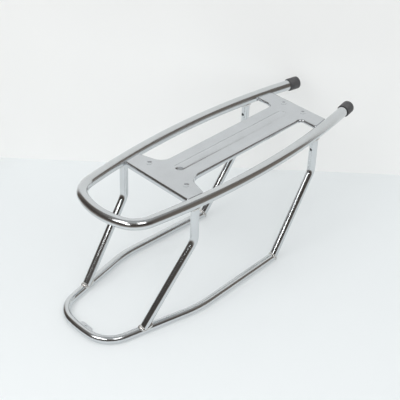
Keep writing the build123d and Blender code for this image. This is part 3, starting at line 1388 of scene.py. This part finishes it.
@dataclass(frozen=True)
class MudguardLug:
    """Flat tab inside the lower rail's nose, with a bolt hole and rounded free corners."""

    rear_x: float = -240.5
    front_x: float = -229.5
    half_width: float = 12.0
    corner: float = 3.5
    corner_count: int = 16
    bottom: float = 0.5
    thickness: float = 2.5
    hole_x: float = -233.8
    hole_radius: float = 1.7
    rim_count: int = 144
    trace_count: int = 4000
    span_count: int = 5
    edge_round: float = 0.35
    edge_segments: int = 3

    @property
    def top(self) -> float:
        """Height of the upper face."""
        return self.bottom + self.thickness

    def outline(self) -> np.ndarray:
        """Points round the tab at even angles about its hole, read off a fine trace of its sides.

        Returns:
            Array of shape (rim_count, 3) at the height of the upper face.
        """
        quarter = np.linspace(0, math.pi / 2, self.corner_count)
        centre = np.array([self.front_x - self.corner, self.corner - self.half_width])
        bend = centre + self.corner * np.stack([np.sin(quarter), -np.cos(quarter)], axis=-1)
        rear = [[self.rear_x, 0.0], [self.rear_x, -self.half_width]]
        half = np.vstack([rear, bend, [[self.front_x, 0.0]]])
        ring = np.vstack([half, (half * [1.0, -1.0])[::-1][1:]])
        run = np.append(0.0, np.cumsum(np.linalg.norm(np.diff(ring, axis=0), axis=-1)))
        walk = np.linspace(0, run[-1], self.trace_count)
        trace = np.stack([np.interp(walk, run, ring[:, k]) for k in range(2)], axis=-1)
        angle = np.unwrap(np.arctan2(trace[:, 1], trace[:, 0] - self.hole_x))
        want = np.linspace(angle[0], angle[-1], self.rim_count, endpoint=False)
        flat = np.stack([np.interp(want, angle, trace[:, k]) for k in range(2)], axis=-1)
        return np.column_stack([flat, np.full(self.rim_count, self.top)])

    def build(self, finishes: Finishes) -> Any:
        """Span the hole and the outline with a ring of quads, then thicken and soften it.

        Args:
            finishes: the rack's materials.

        Returns:
            The new object.
        """
        rim = self.outline()
        centre = np.array([self.hole_x, 0.0, self.top])
        hole = centre + self.hole_radius * unit(rim - centre)
        share = np.linspace(0, 1, self.span_count)[None, :, None]
        parts = MeshParts.empty()
        parts.grid(hole[:, None] * (1 - share) + rim[:, None] * share, closed_u=True)
        piece = parts.build("mudguard_lug_tab", closed=False)
        thicken(piece, self.thickness)
        soft = piece.modifiers.new("softened_edges", "BEVEL")
        soft.width = self.edge_round * MM
        soft.segments = self.edge_segments
        soft.limit_method = "ANGLE"
        return dress(piece, finishes.satin, "satin_chrome", "mudguard_lug")


@dataclass(frozen=True)
class WeldBead:
    """Fillet weld laid in small overlapping puddles, each a low crescent across the bead."""

    crown: float = 0.7
    ripple_pitch: float = 2.6
    ripple_depth: float = 0.6
    # Share of a pitch that a crescent bends back at the toes, and the swell that is no change
    crescent: float = 0.35
    still_swell: float = 0.7
    # Depth of the toes in the pieces, and of the root behind the corner
    sink: float = 0.15
    root_depth: float = 0.8
    # Points across a section, and the lowest height that any may have
    across: int = 11
    floor: float = 0.25

    def skin(self, toes: np.ndarray, crest: np.ndarray, root: np.ndarray, closed: bool) -> np.ndarray:
        """Sections along a bead, each from one toe over the crest to the other and back through the root.

        A section is the parabola through its toes and crest. Its height swells with the root of |sin| of the
        length along the bead over the pitch, and the phase bends back towards the toes, which draws the
        crescents.

        Args:
            toes: shape (count, 2, 3), the bead's edges on the two pieces that it joins.
            crest: shape (count, 3), the middle of the bead's surface.
            root: shape (count, 3), a point inside the corner.
            closed: whether the bead is a full ring.

        Returns:
            Points of shape (count, across + 1, 3).
        """
        share = np.linspace(0, 1, self.across)[None, :, None]
        first, second = toes[:, None, 0], toes[:, None, 1]
        control = 2 * crest[:, None] - (first + second) / 2
        surface = (1 - share) ** 2 * first + 2 * share * (1 - share) * control + share**2 * second
        steps = np.linalg.norm(np.diff(crest, axis=0, append=crest[:1]), axis=-1)
        run = np.concatenate([[0.0], np.cumsum(steps)])[: len(crest)]
        whole = steps.sum() if closed else steps[:-1].sum()
        beads = max(round(whole / self.ripple_pitch), 1)
        phase = run[:, None] / whole * beads + self.crescent * (2 * share[..., 0] - 1) ** 2
        swell = np.sqrt(np.abs(np.sin(np.pi * phase))) - self.still_swell
        shape = 4 * share[..., 0] * (1 - share[..., 0])
        lift = unit(crest - root)[:, None] * (self.ripple_depth * swell * shape)[..., None]
        sections = np.concatenate([surface + lift, root[:, None]], axis=1)
        sections[..., 2] = np.maximum(sections[..., 2], self.floor)
        return sections

    def add(self, parts: MeshParts, sections: np.ndarray, closed: bool) -> None:
        """Add one bead's skin to a piece, with flat ends where it isn't a ring.

        Args:
            parts: the piece's patches.
            sections: points of the bead.
            closed: whether the bead is a full ring.
        """
        parts.grid(sections, closed_u=closed, closed_v=True)
        if not closed:
            parts.fan(sections[0])
            parts.fan(sections[-1])

    def saddle(
        self,
        ring: np.ndarray,
        out: np.ndarray,
        heading: np.ndarray,
        rail: tuple[np.ndarray, np.ndarray],
        radius: float,
        legs: tuple[float, float],
    ) -> np.ndarray:
        """Sections of the ring bead where a strut meets a rail.

        Args:
            ring: points round the strut before the rail, shape (count, 3).
            out: outward directions of the strut there.
            heading: unit direction from the strut to the rail.
            rail: point and unit direction of the rail's axis.
            radius: the rail's radius.
            legs: length of the bead along the strut, and its spread on the rail.

        Returns:
            The bead's sections.
        """
        spot, along = rail
        strut_leg, rail_leg = legs
        corner = onto_cylinder(ring, heading, spot, along, radius)
        high = corner - strut_leg * heading - self.sink * out
        spread = corner + rail_leg * out - spot
        level = (spread @ along)[:, None] * along
        low = spot + level + (radius - self.sink) * unit(spread - level)
        rise = corner - spot
        wall = unit(rise - (rise @ along)[:, None] * along)
        outward = unit(out + wall)
        crest = (high + low) / 2 + self.crown * outward
        return self.skin(np.stack([high, low], axis=1), crest, corner - self.root_depth * outward, True)


@dataclass(frozen=True)
class Welds:
    """All weld beads of the rack, grouped as the part's nodes are."""

    bead: WeldBead = WeldBead()
    # Length of a bead along the strut, and its spread on the rail
    top_legs: tuple[float, float] = (2.6, 1.9)
    foot_legs: tuple[float, float] = (3.8, 3.9)
    # Half width, rise and depth of root of the bead round a mitre
    mitre_half_width: float = 2.3
    mitre_rise: float = 1.2
    mitre_root: float = 1.2
    plate_leg: float = 2.2
    plate_margin: float = 4.0
    lug_leg: float = 1.4
    lug_half_width: float = 10.0
    # Depth of a seam's root behind its corner
    corner_root: float = 0.5
    crease_deg: float = 70.0
    ring_count: int = 220
    run_count: int = 90

    def both(self, name: str, beads: list[np.ndarray], closed: bool, finishes: Finishes) -> Any:
        """Make one piece of left-hand beads and their mirror images.

        Args:
            name: CAD node that the piece stands for.
            beads: sections of each left-hand bead.
            closed: whether they are rings.
            finishes: the rack's materials.

        Returns:
            The new object.
        """
        parts = MeshParts.empty()
        for sections in beads:
            for side in Side:
                self.bead.add(parts, mirrored(sections, side), closed)
        return dress(parts.build(f"{name}_beads", self.crease_deg), finishes.weld, "plated_weld", name)

    def ring(self, axis: BentAxis, radius: float, end: int) -> tuple[np.ndarray, np.ndarray, np.ndarray]:
        """Ring round one end of a strut.

        Args:
            axis: the strut's axis.
            radius: the strut's radius.
            end: number of the axis's point, 0 for the top and -1 for the foot.

        Returns:
            Points of the ring, outward directions there and the axis's tangent.
        """
        points, tangents = axis.sample()
        out = ring_directions(tangents[[end]], axis.across, self.ring_count)[0]
        return points[end] + radius * out, out, tangents[end]

    def top(self, strut: Strut, upper: UpperRail, lower: LowerRail) -> np.ndarray:
        """Sections of the ring bead where a left strut meets the upper rail.

        Args:
            strut: the strut.
            upper: the upper rail.
            lower: the lower rail.

        Returns:
            The bead's sections.
        """
        ring, out, tangent = self.ring(strut.axis(upper, lower), strut.radius, 0)
        start = ring + upper.diameter * tangent
        return self.bead.saddle(start, out, -tangent, upper.at_x(strut.top_x), upper.radius, self.top_legs)

    def foot(self, strut: Strut, upper: UpperRail, lower: LowerRail) -> np.ndarray:
        """Sections of the ring bead where the left rear strut stands on the lower rail.

        Args:
            strut: the rear strut.
            upper: the upper rail.
            lower: the lower rail.

        Returns:
            The bead's sections.
        """
        ring, out, tangent = self.ring(strut.axis(upper, lower), strut.radius, -1)
        start = ring - strut.run_up * tangent
        return self.bead.saddle(start, out, tangent, lower.foot(strut.foot), lower.radius, self.foot_legs)

    def mitre(self, strut: Strut, upper: UpperRail, lower: LowerRail) -> np.ndarray:
        """Sections of the ring bead round the left mitre, with its crest on the mitre plane.

        Args:
            strut: the front strut.
            upper: the upper rail.
            lower: the lower rail.

        Returns:
            The bead's sections.
        """
        spot, heading = lower.foot(strut.foot)
        rising = -strut.axis(upper, lower).sample()[1][-1]
        skin = spot + lower.radius * ring_directions(heading[None], UP, self.ring_count)[0]
        corner = onto_plane(skin, heading, spot, strut.mitre(upper, lower))
        outward = unit(corner - spot)
        low = corner - self.mitre_half_width * heading - self.bead.sink * outward
        high = corner + self.mitre_half_width * rising - self.bead.sink * outward
        crest = corner + self.mitre_rise * outward
        return self.bead.skin(np.stack([low, high], axis=1), crest, corner - self.mitre_root * outward, True)

    def seam(self, at: np.ndarray, sheet: np.ndarray, flank: np.ndarray, outward: np.ndarray) -> np.ndarray:
        """Sections of an open bead in the corner between a sheet and a rail.

        Args:
            at: points of the corner, shape (count, 3).
            sheet: the bead's edge on the sheet.
            flank: the bead's edge on the rail.
            outward: unit directions out of the corner.

        Returns:
            The bead's sections.
        """
        crest = (sheet + flank) / 2 + self.bead.crown * outward
        toes = np.stack([sheet, flank], axis=1)
        return self.bead.skin(toes, crest, at - self.corner_root * outward, False)

    def tab(self, upper: UpperRail, plate: CarrierPlate, rear_x: float, front_x: float) -> np.ndarray:
        """Sections of the bead under one tab, between the sheet's underside and the rail's inner flank.

        Args:
            upper: the upper rail.
            plate: the carrier plate.
            rear_x: rear end of the tab.
            front_x: front end of the tab.

        Returns:
            The bead's sections.
        """
        x = np.linspace(rear_x + self.plate_margin, front_x - self.plate_margin, self.run_count)
        spot, heading = upper.at_x(x)
        inward = np.cross(heading, UP)
        level = plate.top - plate.roll_drop - plate.thickness - upper.height
        drop = level - self.plate_leg
        at = spot + inward * math.sqrt(upper.radius**2 - level**2) + UP * level
        sheet = at + self.plate_leg * inward + self.bead.sink * UP
        flank = spot + inward * (math.sqrt(upper.radius**2 - drop**2) - self.bead.sink) + UP * drop
        return self.seam(at, sheet, flank, unit(inward - UP))

    def lug_seam(self, lower: LowerRail, lug: MudguardLug) -> np.ndarray:
        """Sections of the bead along the lug's top, where the nose's bow is y squared over twice its radius.

        Args:
            lower: the lower rail.
            lug: the lug.

        Returns:
            The bead's sections.
        """
        y = np.linspace(-self.lug_half_width, self.lug_half_width, self.run_count)
        bow = lower.nose_x + y**2 / (2 * lower.nose_radius)
        spot = np.stack([bow, y, np.full_like(y, lower.radius)], axis=-1)
        low, high = lug.top - lower.radius, lug.top + self.lug_leg - lower.radius
        at = spot + FORWARD * math.sqrt(lower.radius**2 - low**2) + UP * low
        sheet = at + self.lug_leg * FORWARD - self.bead.sink * UP
        flank = spot + FORWARD * (math.sqrt(lower.radius**2 - high**2) - self.bead.sink) + UP * high
        return self.seam(at, sheet, flank, unit(FORWARD + UP))

    def build(
        self,
        rails: tuple[UpperRail, LowerRail],
        struts: tuple[Strut, Strut],
        plate: CarrierPlate,
        lug: MudguardLug,
        finishes: Finishes,
    ) -> list[Any]:
        """Build the beads at the strut tops, the strut feet, the plate's tabs and the lug.

        Args:
            rails: the upper and the lower rail.
            struts: the rear and the front strut.
            plate: the carrier plate.
            lug: the lug.
            finishes: the rack's materials.

        Returns:
            The four new objects.
        """
        upper, lower = rails
        rear, front = struts
        tops = [self.top(strut, upper, lower) for strut in struts]
        feet = [self.foot(rear, upper, lower), self.mitre(front, upper, lower)]
        tabs = [self.tab(upper, plate, *tab) for tab in plate.tabs()]
        seam = MeshParts.empty()
        self.bead.add(seam, self.lug_seam(lower, lug), False)
        return [
            self.both("strut_top_welds", tops, True, finishes),
            self.both("strut_foot_welds", feet, True, finishes),
            self.both("plate_welds", tabs, False, finishes),
            dress(seam.build("lug_weld_bead", self.crease_deg), finishes.weld, "plated_weld", "lug_weld"),
        ]


@dataclass(frozen=True)
class Softbox:
    """Square or oblong lamp in millimetres that faces a point."""

    name: str
    place: tuple[float, float, float]
    aim: tuple[float, float, float]
    width: float
    height: float
    watts: float

    def build(self) -> None:
        """Add the lamp to the scene."""
        light = bpy.data.lights.new(self.name, "AREA")
        light.shape = "RECTANGLE"
        light.size, light.size_y = self.width * MM, self.height * MM
        light.energy = self.watts
        place, aim = Vector(self.place) * MM, Vector(self.aim) * MM
        lamp = add_object(self.name, light)
        lamp.location = place
        lamp.rotation_euler = (aim - place).to_track_quat("-Z", "Y").to_euler()


@dataclass(frozen=True)
class Stage:
    """Pale floor with a pale wall close behind the rack, lit by three soft windows in a dim room; floor and
    wall are painted darker further out, as painted shade.
    """

    floor_colour: str = "#e9edee"
    # Painted shade: the floor darkens to this colour between the two radii, where a pool of light would fall
    # off
    floor_falloff_shade_colour: str = "#7d766f"
    floor_pale_radius: float = 380.0
    floor_fade_radius: float = 850.0
    floor_plain_share: float = 0.32
    wall_colour: str = "#f3f4f3"
    # Painted shade: the wall darkens to this colour to the left, between the fade's start and end, as if the
    # room's light fell off
    wall_falloff_shade_colour: str = "#6a615a"
    wall_distance: float = 238.7
    wall_heading_deg: float = 41.3
    wall_height: float = 1200.0
    wall_half_length: float = 1200.0
    wall_fade_start: float = 420.0
    wall_fade_end: float = 760.0
    wall_plain_share: float = 0.4
    wall_cloud_mm: float = 1000 / 3
    wall_cloud_start: float = 0.3
    wall_cloud_full: float = 0.7
    wall_dull_share: float = 0.97
    paint_roughness: float = 0.55
    reach: float = 3000.0
    room_light: str = "#f2f3f4"
    # Colours by the rise of a ray, for rays to the rear and for rays to the front
    room: tuple[tuple[float, str], ...] = (
        (0.0, "#5a524c"),
        (0.35, "#423e3c"),
        (0.70, "#6a645f"),
        (0.95, "#b0b2b2"),
    )
    room_front: tuple[tuple[float, str], ...] = (
        (0.0, "#8c847d"),
        (0.35, "#726a63"),
        (0.70, "#77716b"),
        (0.95, "#b0b2b2"),
    )
    # Share of x in a ray's direction from which it is fully to the front
    room_front_full: float = 0.5
    lamps: tuple[Softbox, ...] = (
        Softbox("left_window", (-1419.0, 149.0, 1502.0), (0.0, 0.0, 100.0), 711.0, 960.0, 7.5),
        Softbox("right_window", (-596.0, -1169.0, 1609.0), (0.0, 0.0, 100.0), 606.0, 778.0, 5.2),
        Softbox("low_window", (-678.0, -218.0, 485.0), (105.0, -80.0, 62.0), 130.0, 95.0, 0.4),
    )

    def plain_view(self, tree: Any) -> Any:
        """Tell rays that see a surface from rays that only light others.

        Args:
            tree: node tree that takes the nodes.

        Returns:
            An output socket: one for rays from the camera and for reflected or refracted rays, else zero.
        """
        ray = add_node(tree, "ShaderNodeLightPath", {}, {}).outputs
        mirror = add_node(
            tree,
            "ShaderNodeMath",
            {"operation": "ADD"},
            {0: ray["Is Glossy Ray"], 1: ray["Is Transmission Ray"]},
        )
        return add_node(
            tree,
            "ShaderNodeMath",
            {"operation": "ADD", "use_clamp": True},
            {0: ray["Is Camera Ray"], 1: mirror.outputs[0]},
        ).outputs[0]

    def painted(self, tree: Any, colour: Any, plain_share: float) -> Any:
        """Mix matt paint with its plain colour, which the camera and reflections see whatever the light.

        Args:
            tree: node tree of the paint's material.
            colour: output socket that gives the paint's colour.
            plain_share: share of the plain colour, from none to one.

        Returns:
            The node of the mixed shader.
        """
        paint = add_node(
            tree, "ShaderNodeBsdfPrincipled", {}, {"Base Color": colour, "Roughness": self.paint_roughness}
        )
        plain = add_node(tree, "ShaderNodeEmission", {}, {"Color": colour, "Strength": 1.0})
        share = add_node(
            tree, "ShaderNodeMath", {"operation": "MULTIPLY"}, {0: self.plain_view(tree), 1: plain_share}
        )
        return add_node(
            tree, "ShaderNodeMixShader", {}, {0: share.outputs[0], 1: paint.outputs[0], 2: plain.outputs[0]}
        )

    def floor_material(self) -> Any:
        """Pale paint round the rack that darkens further out, painted shade for a pool of light that falls
        off, with the rack's shadow kept.

        Returns:
            The floor's material.
        """
        material, tree, place = new_material("pale_floor_paint")
        away = add_node(tree, "ShaderNodeVectorMath", {"operation": "LENGTH"}, {0: place}).outputs["Value"]
        # Painted shade: darker with distance from the rack
        fade = add_node(
            tree,
            "ShaderNodeMapRange",
            {"interpolation_type": "SMOOTHSTEP"},
            {
                "Value": away,
                "From Min": self.floor_pale_radius * MM,
                "From Max": self.floor_fade_radius * MM,
            },
        )
        tint = add_node(tree, "ShaderNodeValToRGB", {}, {"Fac": fade.outputs["Result"]})
        set_ramp(tint, [(0.0, linear(self.floor_colour)), (1.0, linear(self.floor_falloff_shade_colour))])
        show(tree, self.painted(tree, tint.outputs["Color"], self.floor_plain_share))
        return material

    def wall_material(self) -> Any:
        """Pale paint that darkens to the left with painted shade for a dim room, and clear from behind so
        that every side of the rack is seen.

        Returns:
            The wall's material.
        """
        material, tree, place = new_material("pale_wall_paint")
        cloud = add_node(
            tree,
            "ShaderNodeTexNoise",
            {},
            {"Vector": place, "Scale": 1 / (self.wall_cloud_mm * MM), "Detail": 2.0},
        )
        tint = add_node(tree, "ShaderNodeValToRGB", {}, {"Fac": cloud.outputs["Fac"]})
        base = linear(self.wall_colour)
        dull = dimmed(base, self.wall_dull_share)
        set_ramp(tint, [(self.wall_cloud_start, dull), (self.wall_cloud_full, base)])
        turn = math.radians(self.wall_heading_deg)
        along = add_node(
            tree,
            "ShaderNodeVectorMath",
            {"operation": "DOT_PRODUCT"},
            {0: place, 1: (-math.sin(turn), math.cos(turn), 0.0)},
        )
        fade = add_node(
            tree,
            "ShaderNodeMapRange",
            {"interpolation_type": "SMOOTHSTEP"},
            {
                "Value": along.outputs["Value"],
                "From Min": self.wall_fade_start * MM,
                "From Max": self.wall_fade_end * MM,
            },
        )
        # Mix in the painted shade to the left
        shade = add_node(
            tree,
            "ShaderNodeMixRGB",
            {},
            {
                "Fac": fade.outputs["Result"],
                "Color1": tint.outputs["Color"],
                "Color2": linear(self.wall_falloff_shade_colour),
            },
        )
        front = self.painted(tree, shade.outputs["Color"], self.wall_plain_share).outputs[0]
        back = add_node(tree, "ShaderNodeNewGeometry", {}, {}).outputs["Backfacing"]
        clear = add_node(tree, "ShaderNodeBsdfTransparent", {}, {}).outputs[0]
        show(tree, add_node(tree, "ShaderNodeMixShader", {}, {0: back, 1: front, 2: clear}))
        return material

    def sheet(self, name: str, corners: np.ndarray, material: Any) -> None:
        """Add one flat stage sheet.

        Args:
            name: the sheet's name.
            corners: its four corners in order, shape (4, 3).
            material: its paint.
        """
        mesh = bpy.data.meshes.new(name)
        mesh.from_pydata((corners * MM).tolist(), [], [(0, 1, 2, 3)])
        mesh.materials.append(material)
        add_object(name, mesh)

    def light_room(self) -> None:
        """Light matt surfaces evenly, and show metal a room that is dim low down and paler overhead."""
        world = bpy.data.worlds.new("room")
        bpy.context.scene.world = world
        world.use_nodes = True
        tree = world.node_tree
        tree.nodes.clear()
        ray = add_node(tree, "ShaderNodeTexCoord", {}, {}).outputs["Generated"]
        ways = add_node(tree, "ShaderNodeSeparateXYZ", {}, {0: ray}).outputs
        tints = []
        for stops in (self.room, self.room_front):
            tint = add_node(tree, "ShaderNodeValToRGB", {}, {"Fac": ways["Z"]})
            set_ramp(tint, [(place, linear(colour)) for place, colour in stops])
            tints.append(tint.outputs["Color"])
        forward = add_node(
            tree,
            "ShaderNodeMapRange",
            {"interpolation_type": "SMOOTHSTEP"},
            {"Value": ways["X"], "From Min": 0.0, "From Max": self.room_front_full},
        )
        seen = add_node(
            tree,
            "ShaderNodeMixRGB",
            {},
            {"Fac": forward.outputs["Result"], "Color1": tints[0], "Color2": tints[1]},
        )
        shown = add_node(
            tree,
            "ShaderNodeMixRGB",
            {},
            {
                "Fac": self.plain_view(tree),
                "Color1": linear(self.room_light),
                "Color2": seen.outputs["Color"],
            },
        )
        glow = add_node(tree, "ShaderNodeBackground", {}, {"Color": shown.outputs["Color"], "Strength": 1.0})
        add_node(tree, "ShaderNodeOutputWorld", {}, {"Surface": glow.outputs[0]})

    def build(self) -> None:
        """Add the floor, the wall, the lamps and the room's light."""
        far = self.reach
        floor = np.array([[-far, -far, 0.0], [far, -far, 0.0], [far, far, 0.0], [-far, far, 0.0]])
        self.sheet("floor", floor, self.floor_material())
        turn = math.radians(self.wall_heading_deg)
        ahead = np.array([math.cos(turn), math.sin(turn), 0.0])
        aside = self.wall_half_length * np.cross(UP, ahead)
        foot = ahead * self.wall_distance + np.array([aside, -aside])
        self.sheet("wall", np.vstack([foot, foot[::-1] + UP * self.wall_height]), self.wall_material())
        for lamp in self.lamps:
            lamp.build()
        self.light_room()


@dataclass(frozen=True)
class Viewpoint:
    """Camera above the loop end's right side, looking down along the rack."""

    place: tuple[float, float, float] = (-857.92, -907.34, 994.56)
    yaw_deg: float = 47.0696
    pitch_deg: float = 35.5622
    roll_deg: float = 0.6989
    focal_px: float = 1054.8
    image_px: float = 400.0
    sensor: float = 36.0
    sight: float = 20000.0

    def build(self) -> None:
        """Add the camera and make it the scene's."""
        yaw, pitch, roll = (math.radians(d) for d in (self.yaw_deg, self.pitch_deg, self.roll_deg))
        ahead = np.array(
            [math.cos(yaw) * math.cos(pitch), math.sin(yaw) * math.cos(pitch), -math.sin(pitch)]
        )
        level = np.array([math.sin(yaw), -math.cos(yaw), 0.0])
        down = np.cross(ahead, level)
        right = math.cos(roll) * level + math.sin(roll) * down
        below = -math.sin(roll) * level + math.cos(roll) * down
        lens = bpy.data.cameras.new("camera")
        lens.sensor_width = self.sensor
        lens.lens = self.focal_px / self.image_px * self.sensor
        lens.clip_end = self.sight * MM
        camera = add_object("camera", lens)
        matrix = np.eye(4)
        matrix[:3] = np.column_stack([right, -below, -ahead, np.array(self.place) * MM])
        camera.matrix_world = Matrix(matrix.tolist())
        bpy.context.scene.camera = camera


def corners(box: Any) -> list[list[float]]:
    """A box's two corners as plain lists."""
    return [[float(v) for v in corner] for corner in box]


def main() -> None:
    """Build every piece of the rack, the stage and the camera, and log each piece's count of faces."""
    logging.basicConfig(level=logging.INFO, format="%(name)s %(message)s")
    finishes = Finishes.build()
    upper, lower = UpperRail(), LowerRail()
    rear = Strut("rear_strut", Foot.COPED, top_x=-91.0, bend_x=-94.0)
    front = Strut("front_strut", Foot.MITRED, top_x=150.5, bend_x=146.5, vent_drop=24.0)
    plate, lug = CarrierPlate(), MudguardLug()
    pieces = [
        upper.build(finishes),
        lower.build(front.mitre(upper, lower), finishes),
        *rear.build(upper, lower, finishes),
        *front.build(upper, lower, finishes),
        plate.build(upper, finishes),
        *EndCap().build(upper, finishes),
        lug.build(finishes),
        *Welds().build((upper, lower), (rear, front), plate, lug, finishes),
    ]
    for piece in pieces:
        log.info("%s: %d faces", piece.name, len(piece.data.polygons))
    Stage().build()
    Viewpoint().build()
    bpy.context.scene.view_settings.view_transform = "Standard"


if __name__ == "__main__":
    main()
